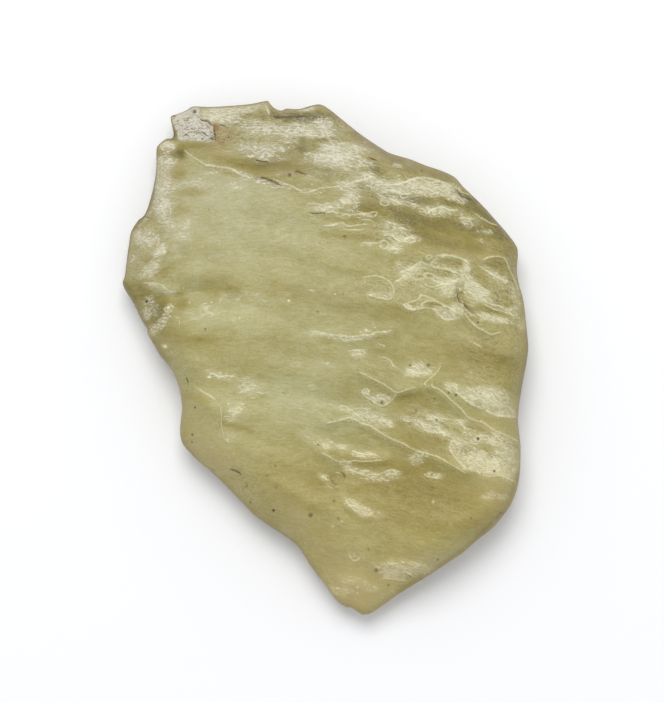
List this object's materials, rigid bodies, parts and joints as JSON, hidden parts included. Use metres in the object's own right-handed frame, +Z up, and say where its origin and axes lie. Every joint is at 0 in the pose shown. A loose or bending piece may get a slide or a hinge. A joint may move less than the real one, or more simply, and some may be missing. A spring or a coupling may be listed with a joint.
{
  "type": "libyan desert glass",
  "caption": "Wind-worn slab of Libyan desert glass, pale olive-yellow and cloudy, with crests, hollows, frosted patches and a broken blunt end.",
  "frame": {"origin": "on the ground below the middle of the slab's bounding box", "axes": "+Z up, out of the face shown in the picture; +Y along the slab's length, towards its blunt broken end; +X towards its straighter thick side"},
  "size_m": [0.0608, 0.077, 0.0151],
  "materials": {
    "desert_glass": "satin, wind-frosted natural glass"
  },
  "bodies": {
    "root": {"desert_glass": "desert_glass"}
  },
  "joints": []
}
